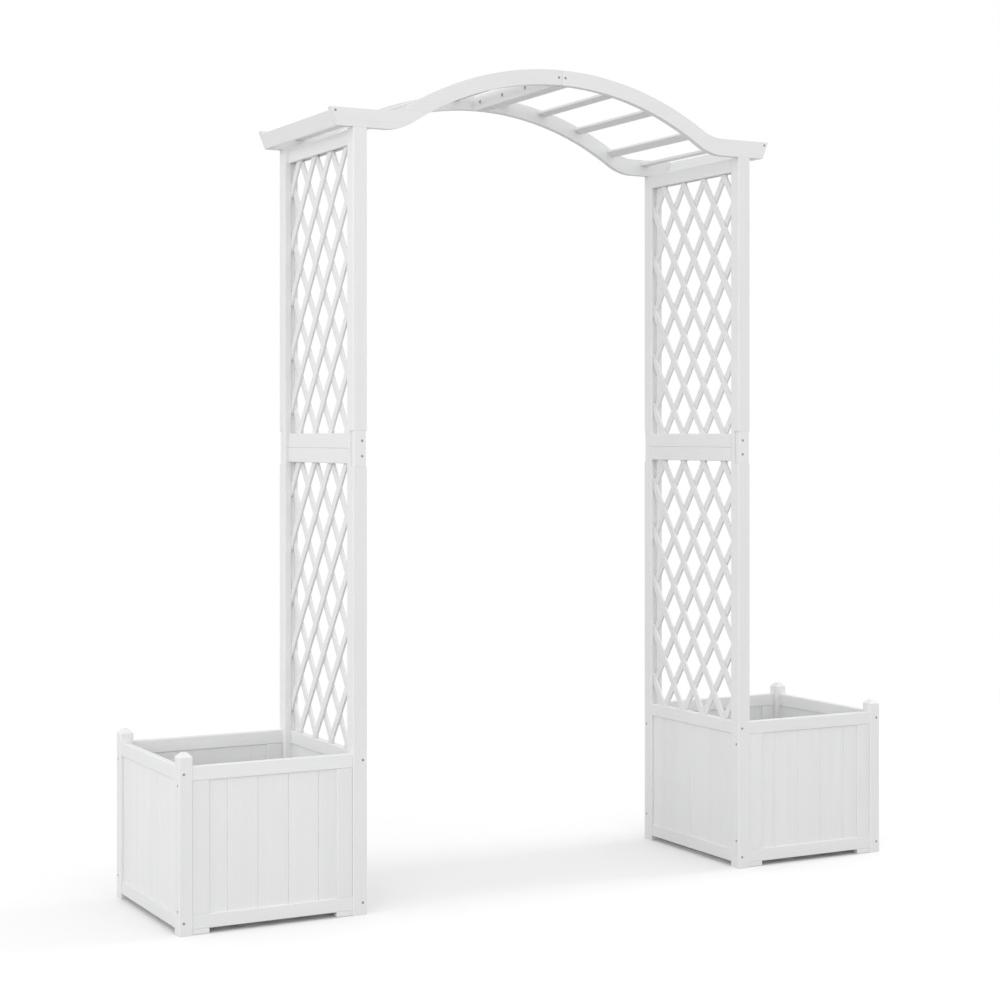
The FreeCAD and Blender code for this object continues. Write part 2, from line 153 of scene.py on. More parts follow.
# Each noise: features per metre along the grain, features per metre across it, and its detail
WANDER_NOISE = (2.2, 14, 1)
STREAK_NOISE = (1.6, 42, 2)
FIBRE_NOISE = (9, 420, 2)
CLOUD_NOISE = (7, 9, 2)
NOISE_ROUGHNESS = 0.55
NOISE_SHIFTS = (61, 37, 23)

# Knots: cells per metre, how far each piece is moved, radius in cells, and the share left out
KNOT_CELLS = (5.0, 11.0, 11.0)
KNOT_SHIFTS = (53, 29, 19)
KNOT_RADIUS = 0.085
KNOT_RARITY = 0.7
KNOT_COVER = 0.55

# How much each pattern lightens the paint, roughens it and stands proud
MEAN_LIGHT = 0.6
STREAK_LIGHT = 0.5
FIBRE_LIGHT = 0.34
CLOUD_LIGHT = 0.42
TONE_LIGHT = 0.3
RING_SHADE = 0.12
WEAR_START = 0.4
WEAR_SOFTNESS = 0.1
WEAR_STRENGTH = 1.6
MEAN_ROUGHNESS = 0.47
FIBRE_ROUGHNESS = 0.14
STREAK_ROUGHNESS = 0.1
PAINT_SPECULAR = 0.4
RING_RELIEF = 0.5
FIBRE_RELIEF = 0.6
STREAK_RELIEF = 0.5
KNOT_RELIEF = 0.8
RELIEF_STRENGTH = 0.35
RELIEF_HEIGHT = 0.25 * MM


def new_material(name):
    """A material with its node tree and its shader."""
    material = bpy.data.materials.new(name)
    material.use_nodes = True
    tree = material.node_tree
    return material, tree, tree.nodes["Principled BSDF"]


def moved_grain(grain, tone, scales, shifts):
    """Grain coordinates scaled along each axis, and moved to another place on every piece."""
    scaled = grain.node("ShaderNodeVectorMath", {"operation": "MULTIPLY"}, {0: grain, 1: scales})
    away = vector(*[tone * shift for shift in shifts])
    return grain.node("ShaderNodeVectorMath", {"operation": "ADD"}, {0: scaled, 1: away})


def stretched_noise(grain, tone, along, across, detail):
    """Noise drawn out along the grain, different on every piece."""
    place = moved_grain(grain, tone, (along, across, across), NOISE_SHIFTS)
    sockets = {"Vector": place, "Scale": 1.0, "Detail": detail, "Roughness": NOISE_ROUGHNESS}
    return grain.node("ShaderNodeTexNoise", None, sockets)


def growth_rings(grain, tone):
    """Rings round a pith outside the piece, so that wide faces show long arches."""
    along, across, through = grain.node("ShaderNodeSeparateXYZ", None, {0: grain}).others()
    wander = stretched_noise(grain, tone, *WANDER_NOISE) - 0.5
    side = across - (tone - 0.5) * (2 * PITH_SPREAD)
    depth = through + PITH_DEPTH
    radius = (side * side + depth * depth) ** 0.5
    radius = radius + wander * RING_WANDER + along * TRUNK_TAPER
    turns = radius * (math.tau / RING_PITCH)
    return (turns.maths("SINE", turns) * 0.5 + 0.5) ** RING_SHARPNESS


def knots(grain, tone):
    """Small soft spots in a few of the cells of a stretched Voronoi pattern."""
    place = moved_grain(grain, tone, KNOT_CELLS, KNOT_SHIFTS)
    voronoi = grain.node("ShaderNodeTexVoronoi", None, {"Vector": place, "Scale": 1.0})
    distance, cell_colour = voronoi.others()[:2]
    chance = grain.node("ShaderNodeSeparateColor", None, {0: cell_colour})
    cone = 1 - distance / KNOT_RADIUS
    return cone.maths("MAXIMUM", cone, 0) * chance.maths("GREATER_THAN", chance, KNOT_RARITY)


def make_paint():
    material, tree, shader = new_material("white_painted_softwood")
    start = Wire(tree)
    grain = start.node("ShaderNodeAttribute", {"attribute_name": "grain"}, None, "Vector")
    tone = start.node("ShaderNodeAttribute", {"attribute_name": "tone"}, None, "Fac")
    edge = start.node("ShaderNodeAttribute", {"attribute_name": "edge"}, None, "Fac")
    ring = growth_rings(grain, tone)
    knot = knots(grain, tone)
    streak = stretched_noise(grain, tone, *STREAK_NOISE)
    fibre = stretched_noise(grain, tone, *FIBRE_NOISE)
    cloud = stretched_noise(grain, tone, *CLOUD_NOISE)

    light = MEAN_LIGHT + (streak - 0.5) * STREAK_LIGHT + (fibre - 0.5) * FIBRE_LIGHT
    light = light + (cloud - 0.5) * CLOUD_LIGHT + (tone - 0.5) * TONE_LIGHT - ring * RING_SHADE
    colour = light.mixed(PAINT_SHADE, PAINT_LIGHT)
    colour = (knot * KNOT_COVER).mixed(colour, KNOT_STAIN)
    patches = cloud.maths("SMOOTH_MAX", cloud - WEAR_START, 0, WEAR_SOFTNESS)
    colour = (edge * patches * WEAR_STRENGTH).mixed(colour, THIN_COAT)
    tree.links.new(colour.socket, shader.inputs["Base Color"])

    rough = MEAN_ROUGHNESS + (fibre - 0.5) * FIBRE_ROUGHNESS + (streak - 0.5) * STREAK_ROUGHNESS
    tree.links.new(rough.socket, shader.inputs["Roughness"])
    shader.inputs["Specular IOR Level"].default_value = PAINT_SPECULAR

    relief = ring * RING_RELIEF + fibre * FIBRE_RELIEF + streak * STREAK_RELIEF
    relief = relief + knot * KNOT_RELIEF
    bump = relief.node("ShaderNodeBump", None, {"Height": relief, "Strength": RELIEF_STRENGTH,
                                                "Distance": RELIEF_HEIGHT})
    tree.links.new(bump.socket, shader.inputs["Normal"])
    return material


paint = make_paint()
print("material:", paint.name, len(paint.node_tree.nodes), "nodes")

# %% [markdown]
# ## Yellow zinc on the fasteners
# Garden screws are steel with a yellow passivated zinc coat: a metal that drifts between straw
# and olive. A metallic base with a slow and a fine noise is enough at this size.

# %% The zinc material
ZINC_STRAW = (0.47, 0.455, 0.35, 1)
ZINC_OLIVE = (0.28, 0.28, 0.225, 1)
DRIFT_SCALE = 320.0
DRIFT_DETAIL = 2.0
PIT_SCALE = 2600.0
PIT_DETAIL = 1.0
SMOOTHEST_ZINC = 0.3
DRIFT_ROUGHNESS = 0.2
PIT_ROUGHNESS = 0.12
PIT_STRENGTH = 0.3
PIT_DEPTH = 0.05 * MM


def make_zinc():
    material, tree, shader = new_material("yellow_zinc_steel")
    place = Wire(tree).node("ShaderNodeTexCoord", None, None, "Object")
    drift = place.node("ShaderNodeTexNoise", None,
                       {"Vector": place, "Scale": DRIFT_SCALE, "Detail": DRIFT_DETAIL})
    pits = place.node("ShaderNodeTexNoise", None,
                      {"Vector": place, "Scale": PIT_SCALE, "Detail": PIT_DETAIL})
    colour = drift.mixed(ZINC_OLIVE, ZINC_STRAW)
    tree.links.new(colour.socket, shader.inputs["Base Color"])
    rough = SMOOTHEST_ZINC + drift * DRIFT_ROUGHNESS + pits * PIT_ROUGHNESS
    tree.links.new(rough.socket, shader.inputs["Roughness"])
    bump = pits.node("ShaderNodeBump", None,
                     {"Height": pits, "Strength": PIT_STRENGTH, "Distance": PIT_DEPTH})
    tree.links.new(bump.socket, shader.inputs["Normal"])
    shader.inputs["Metallic"].default_value = 1.0
    return material


zinc = make_zinc()
print("material:", zinc.name)

# %% [markdown]
# ## Reading the solids of a node
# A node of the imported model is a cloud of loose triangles, and it may hold several timbers or
# screws. Welding a copy and walking its edges splits it into the separate solids, and their boxes
# tell where each screw is driven and which way each board runs.

# %% Welded copies and their solids
WELD = 0.01 * MM
FLAT = math.radians(0.4)


def welded(node):
    """A welded copy of a node's mesh with its coplanar triangles rejoined."""
    work = bmesh.new()
    work.from_mesh(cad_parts[node].data)
    bmesh.ops.remove_doubles(work, verts=work.verts, dist=WELD)
    bmesh.ops.dissolve_limit(work, angle_limit=FLAT, verts=work.verts, edges=work.edges)
    return work


def solids(work):
    """The connected groups of vertices in a mesh, lowest index first."""
    groups = []
    seen = set()
    for first in work.verts:
        if first in seen:
            continue
        group = []
        waiting = [first]
        seen.add(first)
        while waiting:
            vert = waiting.pop()
            group.append(vert)
            for edge in vert.link_edges:
                other = edge.other_vert(vert)
                if other not in seen:
                    seen.add(other)
                    waiting.append(other)
        groups.append(group)
    return groups


def box_of(points):
    """Lowest and highest corner of some points."""
    low = Vector([min(point[axis] for point in points) for axis in range(3)])
    high = Vector([max(point[axis] for point in points) for axis in range(3)])
    return low, high


def node_solids(node):
    """The points of each separate solid of a node."""
    work = welded(node)
    groups = [[vert.co.copy() for vert in group] for group in solids(work)]
    work.free()
    return groups


def longest_axis(low, high):
    size = high - low
    return max(range(3), key=lambda axis: size[axis])


SCREW_NODES = ("left_tower_screws", "right_tower_screws", "arch_screws", "beam_screws")
HOLE_MARGIN = 1 * MM
fastener_boxes = []
for name in SCREW_NODES + ("crown_bolts",):
    for points in node_solids(name):
        low, high = box_of(points)
        margin = Vector((HOLE_MARGIN,) * 3)
        fastener_boxes.append((low - margin, high + margin))
print("fasteners:", len(fastener_boxes))

# %% [markdown]
# ## Planed timber
# Every straight piece is planed stock with its arrises taken off, so that paint holds on them and
# hands don't catch. Modelling each one again would repeat work: a welded copy of its solid already
# has the housings, grooves and screw holes. A small bevel rounds its edges, weighted normals keep
# the flats flat, and the faces that the bevel makes are remembered as `edge` for the paint.
#
# The holes keep their crisp rims, because a bevel there would eat the countersink.

# %% From solid to painted timber
EASE = 0.6 * MM
EASE_STEPS = 2
SHARP = math.radians(25)
CREASE = math.radians(40)
TONE_SEED = 11
draws = random.Random(TONE_SEED)


def in_fastener(point):
    return any(all(low[axis] <= point[axis] <= high[axis] for axis in range(3))
               for low, high in fastener_boxes)


def timber_mesh(node):
    """A clean mesh of a node with bevel weights on every edge that is eased."""
    work = welded(node)
    work.verts.index_update()
    mesh = bpy.data.meshes.new(node)
    mesh.from_pydata([vert.co for vert in work.verts], [],
                     [[vert.index for vert in face.verts] for face in work.faces])
    work.free()
    work = bmesh.new()
    work.from_mesh(mesh)
    weight = work.edges.layers.float.new("bevel_weight_edge")
    for edge in work.edges:
        angle = edge.calc_face_angle(0)
        middle = (edge.verts[0].co + edge.verts[1].co) / 2
        if angle > SHARP and not in_fastener(middle):
            edge[weight] = 1
        elif angle > CREASE:
            edge.smooth = False
    for face in work.faces:
        face.smooth = True
    work.to_mesh(mesh)
    work.free()
    return mesh


def new_piece(name, mesh):
    piece = bpy.data.objects.new(name, mesh)
    bpy.context.scene.collection.objects.link(piece)
    return piece


def ease_edges(piece, radius, steps, limit):
    """Round a piece's edges, with the new faces in the second material slot."""
    piece.data.materials.clear()
    piece.data.materials.append(paint)
    piece.data.materials.append(paint)
    bevel = piece.modifiers.new("eased edges", "BEVEL")
    bevel.width = radius
    bevel.segments = steps
    bevel.limit_method = limit
    bevel.angle_limit = SHARP
    bevel.use_clamp_overlap = False
    bevel.material = 1
    normals = piece.modifiers.new("flat faces stay flat", "WEIGHTED_NORMAL")
    normals.keep_sharp = True


def bake(piece):
    """Turn a piece's modifiers into plain mesh and take them off."""
    graph = bpy.context.evaluated_depsgraph_get()
    mesh = bpy.data.meshes.new_from_object(piece.evaluated_get(graph), depsgraph=graph)
    old = piece.data
    piece.modifiers.clear()
    piece.data = mesh
    bpy.data.meshes.remove(old)
    mesh.name = piece.name


def mark_edges(piece):
    """Keep the bevelled faces as an attribute, and go back to one material."""
    mesh = piece.data
    eased = mesh.attributes.new("edge", "FLOAT", "FACE")
    eased.data.foreach_set("value", [float(face.material_index == 1) for face in mesh.polygons])
    mesh.polygons.foreach_set("material_index", [0] * len(mesh.polygons))
    mesh.materials.clear()
    mesh.materials.append(paint)


def mark_grain(piece):
    """Give each solid of a piece its own grain coordinates and a random tone."""
    work = bmesh.new()
    work.from_mesh(piece.data)
    grain = work.verts.layers.float_vector.new("grain")
    tone = work.verts.layers.float.new("tone")
    for group in solids(work):
        low, high = box_of([vert.co for vert in group])
        middle = (low + high) / 2
        size = high - low
        order = sorted(range(3), key=lambda axis: -size[axis])
        chance = draws.random()
        for vert in group:
            local = vert.co - middle
            vert[grain] = [local[axis] for axis in order]
            vert[tone] = chance
    work.to_mesh(piece.data)
    work.free()


def stand_for(piece, slot, *nodes):
    """A finished piece rides on the one body and shows in place of its nodes."""
    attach(piece, "root")
    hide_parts(*nodes)


def finish_recipe_timber(piece, radius, steps, node):
    """Ease and hand over a piece that already has its grain from a recipe."""
    ease_edges(piece, radius, steps, "ANGLE")
    bake(piece)
    mark_edges(piece)
    stand_for(piece, "painted_wood", node)


def planed_timber(node):
    """The painted piece that stands for a node of planed timber."""
    piece = new_piece("painted_" + node, timber_mesh(node))
    ease_edges(piece, EASE, EASE_STEPS, "WEIGHT")
    bake(piece)
    mark_edges(piece)
    mark_grain(piece)
    stand_for(piece, "painted_wood", node)
    return piece


print("timber helpers ready")

# %% [markdown]
# ## Posts, frames and rails
# The short posts have chamfered tops, the tall ones are spliced halfway up behind a let-in plate,
# and rails and stiles frame each panel. They are all planed stock, so one loop covers them.

# %% Planed pieces of both towers
TOWER_TIMBERS = ["splice_plates", "foot_blocks", "lattice_rails", "base_cleats"]
TOWER_TIMBERS += [post + "_post_" + end for post in ("short", "lower", "upper") for end in ENDS]
TOWER_TIMBERS += [panel + "_panel_rails" for panel in ("front", "back", "outer", "inner")]
TOWER_TIMBERS += [end + "_panel_stiles" for end in ENDS]
for side in SIDES:
    made = [planed_timber(side + "_" + timber) for timber in TOWER_TIMBERS]
    print(side, "tower:", len(made), "pieces,", sum(len(p.data.polygons) for p in made), "faces")

# %% [markdown]
# ## The arch
# Each side of the arch is two half beams sawn to an S: a long crown arc eases the other way into a
# level end. Sawing follows the curve while the grain runs straight, so these keep grain
# coordinates along X. Boards at the crown and at the slanted ends tie the two sides together.

# %% Beams and cross boards
CROWN_GAP = 0.7 * MM
ARCH_BEAMS = ["arch_beam_" + end + "_" + side for end in ENDS for side in SIDES]
CROSS_BOARDS = ["crown_board_" + side for side in SIDES] + ["end_boards"]


def open_crown_joint(piece):
    """Draw a half beam's crown end back a little, as sawn ends never close quite tight."""
    way = 1 if "right" in piece.name else -1
    for vert in piece.data.vertices:
        if abs(vert.co.x) < CROWN_GAP / 2:
            vert.co.x = way * CROWN_GAP / 2


made = [planed_timber(timber) for timber in ARCH_BEAMS]
for piece in made:
    open_crown_joint(piece)
made += [planed_timber(timber) for timber in CROSS_BOARDS]
print("arch:", len(made), "pieces,", sum(len(p.data.polygons) for p in made), "faces")

# %% [markdown]
# ## Recipes for what repeats
# Boards, strips, slats and screws repeat, so each is a geometry node tree with named inputs: a
# recipe that anyone can reopen and give other sizes. A tree ends by realizing its instances and
# setting the material, and baking it leaves a plain mesh.


# %% A geometry node recipe
class Recipe:
    """A geometry node tree with named inputs, built from wires."""

    def __init__(self, name):
        self.tree = bpy.data.node_groups.new(name, "GeometryNodeTree")
        for way in ("INPUT", "OUTPUT"):
            self.tree.interface.new_socket("Geometry", in_out=way,
                                           socket_type="NodeSocketGeometry")
        self.entry = self.tree.nodes.new("NodeGroupInput")
        self.exit = self.tree.nodes.new("NodeGroupOutput")
        self.identifiers = {}
        self.start = Wire(self.tree, self.entry.outputs["Geometry"])

    def value(self, name, kind="Float"):
        """A named input of the recipe."""
        socket = self.tree.interface.new_socket(name, in_out="INPUT",
                                                socket_type="NodeSocket" + kind)
        self.identifiers[name] = socket.identifier
        return Wire(self.tree, self.entry.outputs[name])

    def end(self, geometry):
        """Realize the instances, smooth the faces and set the material input."""
        material = self.value("Material", "Material")
        solid = geometry.node("GeometryNodeRealizeInstances", None, {"Geometry": geometry})
        smooth = solid.node("GeometryNodeSetShadeSmooth", None, {"Geometry": solid})
        done = smooth.node("GeometryNodeSetMaterial", None,
                           {"Geometry": smooth, "Material": material})
        self.tree.links.new(done.socket, self.exit.inputs["Geometry"])

    def use(self, piece, material, sizes):
        """Add the recipe to a piece, every input set before it is evaluated."""
        modifier = piece.modifiers.new(self.tree.name, "NODES")
        modifier.node_group = self.tree
        for name, value in {**sizes, "Material": material}.items():
            modifier[self.identifiers[name]] = value


def stored(geometry, name, kind, domain, value):
    """Geometry with a named attribute written on it."""
    return geometry.node("GeometryNodeStoreNamedAttribute",
                         {"data_type": kind, "domain": domain},
                         {"Geometry": geometry, "Name": name, "Value": value})


def random_tone(geometry, seed):
    """Instances with a random tone each."""
    chance = geometry.node("FunctionNodeRandomValue", {"data_type": "FLOAT"}, {8: seed}, 1)
    return stored(geometry, "tone", "FLOAT", "INSTANCE", chance)


def row(start, count, step, first=(0.0, 0.0, 0.0)):
    """A row of points, one step apart."""
    return start.node("GeometryNodeMeshLine", {"mode": "OFFSET", "count_mode": "TOTAL"},
                      {"Count": count, "Start Location": first, "Offset": step})


def slat_along_y(start, size):
    """A slat round the origin, with its grain along Y."""
    slat = start.node("GeometryNodeMeshCube", None, {"Size": size})
    place = start.node("GeometryNodeInputPosition")
    x, y, z = place.node("ShaderNodeSeparateXYZ", None, {0: place}).others()
    return stored(slat, "grain", "FLOAT_VECTOR", "POINT", vector(y, x, z))


print("recipes ready")

# %% [markdown]
# ## Tongue-and-groove boards
# Each panel is filled with upright boards of one width, tongue into groove, and the first and last
# are ripped narrower to fit. A small bevel along both face edges leaves a fine V at every joint.
# The recipe takes three sections, for the first, middle and last board, stands one on each point
# of a line and extrudes them to full height.

# %% The board recipe
BOARD_WIDTH = 81 * MM
SECTION_COUNT = 3
BOARD_BEVEL = 1.5 * MM
TONGUE_LENGTH = 5 * MM
TONGUE_THICKNESS = 3.2 * MM
JOINT_CLEARANCE = 0.3 * MM
BOARD_EASE = 0.35 * MM


def make_board_recipe():
    recipe = Recipe("tongue_and_groove_boards")
    count = recipe.value("Count", "Int")
    first = recipe.value("First board width")
    width = recipe.value("Board width")
    height = recipe.value("Board height")
    seed = recipe.value("Seed", "Int")
    start = recipe.start
    place = start.node("GeometryNodeInputPosition")
    u, v, z = place.node("ShaderNodeSeparateXYZ", None, {0: place}).others()
    kind = start.node("GeometryNodeInputNamedAttribute", {"data_type": "INT"}, {"Name": "kind"})
    kinds = []
    for number in range(SECTION_COUNT):
        chosen = kind.maths("COMPARE", kind, number, 0.1)
        section = start.node("GeometryNodeSeparateGeometry", {"domain": "FACE"},
                             {"Geometry": start, "Selection": chosen})
        rise = start.node("GeometryNodeExtrudeMesh", {"mode": "FACES"},
                          {"Mesh": section, "Offset": vector(0.0, 0.0, height),
                           "Individual": False})
        sole = start.node("GeometryNodeFlipFaces", None, {"Mesh": section})
        board = start.node("GeometryNodeJoinGeometry", None, {"Geometry": [rise, sole]})
        board = start.node("GeometryNodeMergeByDistance", None,
                           {"Geometry": board, "Distance": WELD})
        local = vector(z, u - width * 0.5, v)
        kinds.append(stored(board, "grain", "FLOAT_VECTOR", "POINT", local))
    # Links into one socket count from the last, so the kinds go in backwards
    choice = start.node("GeometryNodeGeometryToInstance", None, {"Geometry": kinds[::-1]})
    line = row(start, count, vector(width, 0.0, 0.0))
    # Half numbers fall between the whole numbers of the boards
    index = start.node("GeometryNodeInputIndex")
    after_first = index.maths("GREATER_THAN", index, 0.5)
    at_last = index.maths("GREATER_THAN", index, count - 1.5)
    shift = vector((first - width) * after_first, 0.0, 0.0)
    spots = start.node("GeometryNodeSetPosition", None, {"Geometry": line, "Offset": shift})
    boards = start.node("GeometryNodeInstanceOnPoints", None,
                        {"Points": spots, "Instance": choice, "Pick Instance": True,
                         "Instance Index": after_first + at_last})
    recipe.end(random_tone(boards, seed))
    return recipe


def board_section(width, thickness, has_groove, has_tongue):
    """A board's section: run along the panel, then depth behind its face."""
    middle = thickness / 2
    tongue = TONGUE_THICKNESS / 2
    slot = tongue + JOINT_CLEARANCE / 2
    bottom = TONGUE_LENGTH + JOINT_CLEARANCE
    outline = [(BOARD_BEVEL, 0), (width - BOARD_BEVEL, 0), (width, BOARD_BEVEL)]
    if has_tongue:
        reach = width + TONGUE_LENGTH
        outline += [(width, middle - tongue), (reach, middle - tongue),
                    (reach, middle + tongue), (width, middle + tongue)]
    outline += [(width, thickness), (0, thickness)]
    if has_groove:
        outline += [(0, middle + slot), (bottom, middle + slot),
                    (bottom, middle - slot), (0, middle - slot)]
    return outline + [(0, BOARD_BEVEL)]


board_recipe = make_board_recipe()
print("recipe:", board_recipe.tree.name)

# %% Boards of all eight panels
OUTWARD = {"front": (0, -1, 0), "back": (0, 1, 0), "outer": (1, 0, 0), "inner": (-1, 0, 0)}
BOARD_EASE_STEPS = 1
TOWER_SEED_STEP = 10


def boarded_panel(side, panel, seed):
    """The boards of one panel, in the space that their node holds."""
    node = side + "_" + panel + "_panel_boards"
    low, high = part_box(node)
    outward = Vector(OUTWARD[panel])
    if side == "left":
        outward.x = -outward.x
    up = Vector((0, 0, 1))
    inward = -outward
    run = inward.cross(up)
    size = high - low
    span = abs(size.dot(run))
    thickness = abs(size.dot(inward))
    full_count = int(span // BOARD_WIDTH) - 1
    ripped = (span - full_count * BOARD_WIDTH) / 2
    kinds = ((ripped, False, True), (BOARD_WIDTH, True, True), (ripped, True, False))
    points = []
    faces = []
    for width, has_groove, has_tongue in kinds:
        outline = board_section(width, thickness, has_groove, has_tongue)
        faces.append([len(points) + index for index in range(len(outline))])
        points += [(u, v, 0) for u, v in outline]
    mesh = bpy.data.meshes.new(node)
    mesh.from_pydata(points, [], faces)
    kind = mesh.attributes.new("kind", "INT", "FACE")
    kind.data.foreach_set("value", list(range(SECTION_COUNT)))
    piece = new_piece("painted_" + node, mesh)
    board_recipe.use(piece, paint, {"Count": full_count + 2, "First board width": ripped,
                                    "Board width": BOARD_WIDTH, "Board height": size.z,
                                    "Seed": seed})
    bake(piece)
    corner = Vector([low[axis] if (run + inward)[axis] > 0 else high[axis] for axis in range(3)])
    corner.z = low.z
    turn = Matrix((run, inward, up)).transposed().to_4x4()
    piece.data.transform(Matrix.Translation(corner) @ turn)
    finish_recipe_timber(piece, BOARD_EASE, BOARD_EASE_STEPS, node)
    return piece


for side in SIDES:
    for number, panel in enumerate(OUTWARD):
        piece = boarded_panel(side, panel, number + TOWER_SEED_STEP * SIDES.index(side))
        print(piece.name, len(piece.data.polygons), "faces")

# %% [markdown]
# ## Lattice
# Thin strips cross in two layers, one leaning each way, and their ends sit in grooves. A strip is
# simple, but its ends are cut to the opening, some of them at a corner. The recipe lays a row of
# long strips on the lean and cuts them all to the opening with one boolean.

# %% The lattice recipe
STRIP_WIDTH = 20 * MM
DIAMONDS_ACROSS = 4
DIAMONDS_HIGH = 5
STRIP_SINK = 5.7 * MM
STRIP_EASE = 0.8 * MM


def make_lattice_recipe():
    """One layer of strips round the middle of an opening, leaning one way."""
    recipe = Recipe("lattice_layer")
    opening_width = recipe.value("Opening width")
    opening_height = recipe.value("Opening height")
    columns = recipe.value("Half diamonds across")
    rows = recipe.value("Half diamonds high")
    lean = recipe.value("Lean")
    strip_width = recipe.value("Strip width")
    thickness = recipe.value("Strip thickness")
    sides = recipe.value("Sink at the sides")
    foot = recipe.value("Sink at the foot")
    head = recipe.value("Sink at the head")
    seed = recipe.value("Seed", "Int")
    start = recipe.start
    step_y = opening_width / columns
    step_z = opening_height / rows
    tilt = lean * step_z.maths("ARCTAN2", step_z, step_y)
    length = (opening_width + opening_height) * 2
    strip = start.node("GeometryNodeMeshCube", None, {"Size": vector(thickness, length, strip_width)})
    place = start.node("GeometryNodeInputPosition")
    x, y, z = place.node("ShaderNodeSeparateXYZ", None, {0: place}).others()
    strip = stored(strip, "grain", "FLOAT_VECTOR", "POINT", vector(y, z, x))
    count = (columns + rows) * 0.5
    first = step_z * (1 - columns * 0.5)
    line = row(start, count, vector(0.0, 0.0, step_z * 2), vector(0.0, 0.0, first))
    turn = start.node("FunctionNodeEulerToRotation", None, {"Euler": vector(tilt, 0.0, 0.0)})
    strips = start.node("GeometryNodeInstanceOnPoints", None,
                        {"Points": line, "Instance": strip, "Rotation": turn})
    strips = random_tone(strips, seed)
    strips = start.node("GeometryNodeRealizeInstances", None, {"Geometry": strips})
    trim_size = vector(thickness * 2, opening_width + sides * 2, opening_height + foot + head)
    trim = start.node("GeometryNodeMeshCube", None, {"Size": trim_size})
    middle = (opening_height + head - foot) * 0.5
    trim = start.node("GeometryNodeTransform", None,
                      {"Geometry": trim, "Translation": vector(0.0, 0.0, middle)})
    cut = start.node("GeometryNodeMeshBoolean", {"operation": "INTERSECT", "solver": "EXACT"},
                     {"Mesh 2": [strips, trim]})
    recipe.end(cut)
    return recipe


lattice_recipe = make_lattice_recipe()
print("recipe:", lattice_recipe.tree.name)

# %% Both panels of both towers
LATTICE_SEED = 40
PANEL_SEED_STEP = 4


def joined(name, pieces):
    """One piece from several meshes that are already in place."""
    work = bmesh.new()
    for piece in pieces:
        work.from_mesh(piece.data)
    mesh = bpy.data.meshes.new(name)
    work.to_mesh(mesh)
    work.free()
    for piece in pieces:
        bpy.data.objects.remove(piece)
    return new_piece(name, mesh)


def lattice_panel(side, panel, seed):
    node = side + "_" + panel + "_lattice"
    low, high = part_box(node)
    foot = 0.0 if panel == "lower" else STRIP_SINK
    opening_width = high.y - low.y - 2 * STRIP_SINK
    opening_height = high.z - low.z - STRIP_SINK - foot
    thickness = (high.x - low.x) / 2
    inner_way = 1 if side == "left" else -1
    layers = []
    for lean in (1, -1):
        layer = new_piece("layer", bpy.data.meshes.new("layer"))
        sizes = {"Opening width": opening_width, "Opening height": opening_height,
                 "Half diamonds across": 2.0 * DIAMONDS_ACROSS,
                 "Half diamonds high": 2.0 * DIAMONDS_HIGH, "Lean": float(lean),
                 "Strip width": STRIP_WIDTH, "Strip thickness": thickness,
                 "Sink at the sides": STRIP_SINK, "Sink at the foot": foot,
                 "Sink at the head": STRIP_SINK, "Seed": seed + lean}
        lattice_recipe.use(layer, paint, sizes)
        bake(layer)
        x = (low.x + high.x) / 2 + inner_way * lean * thickness / 2
        layer.data.transform(Matrix.Translation((x, 0, low.z + foot)))
        layers.append(layer)
    piece = joined("painted_" + node, layers)
    finish_recipe_timber(piece, STRIP_EASE, EASE_STEPS, node)
    return piece


for side in SIDES:
    for number, panel in enumerate(("lower", "upper")):
        seed = LATTICE_SEED + PANEL_SEED_STEP * number + TOWER_SEED_STEP * SIDES.index(side)
        piece = lattice_panel(side, panel, seed)
        print(piece.name, len(piece.data.polygons), "faces")

# %% [markdown]
# ## Slats across the arch
# Five thin slats on each half lie along the curve and tilt with it, housed in both beams. They
# follow a path, so the recipe samples the arch's centreline at even runs and turns each slat to
# the tangent there.

# %% The centreline of the arch
CROWN_DEPTH = 40.5 * MM
ARCH_RISE = 150.75 * MM
EASE_RADIUS = 143.5 * MM
SHOULDER_RUN = 50 * MM
PATH_STEPS = 48

crown_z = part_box("arch_beam_back_right")[1].z - CROWN_DEPTH / 2
flat_z = crown_z - ARCH_RISE
inner_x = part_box("right_upper_post_back")[0].x
ease_x = inner_x - SHOULDER_RUN
crown_radius = (ease_x ** 2 / ARCH_RISE + ARCH_RISE) / 2 - EASE_RADIUS
sweep = math.asin(ease_x / (crown_radius + EASE_RADIUS))
path_run = (crown_radius + EASE_RADIUS) * sweep + SHOULDER_RUN


def arch_path():
    """Points of the right half's centreline: crown arc, easing arc and level end."""
    points = []
    for step in range(PATH_STEPS + 1):
        angle = sweep * step / PATH_STEPS
        points.append((crown_radius * math.sin(angle), 0,
                       crown_z - crown_radius * (1 - math.cos(angle))))
    for step in range(1, PATH_STEPS + 1):
        angle = sweep * (1 - step / PATH_STEPS)
        points.append((ease_x - EASE_RADIUS * math.sin(angle), 0,
                       flat_z + EASE_RADIUS * (1 - math.cos(angle))))
    points.append((inner_x, 0, flat_z))
    return points


print("arch path:", round(path_run, 4), "m from crown to post")

# %% The slat recipe
SLAT_COUNT = 5
SLAT_WIDTH = 27 * MM
SLAT_THICKNESS = 8 * MM
SLAT_LIFT = 10 * MM
FIRST_SLAT_RUN = 78 * MM
LAST_SLAT_INSET = 12 * MM
SLAT_EASE = 1.2 * MM
SLAT_EASE_STEPS = 3
SLAT_SEED = 70


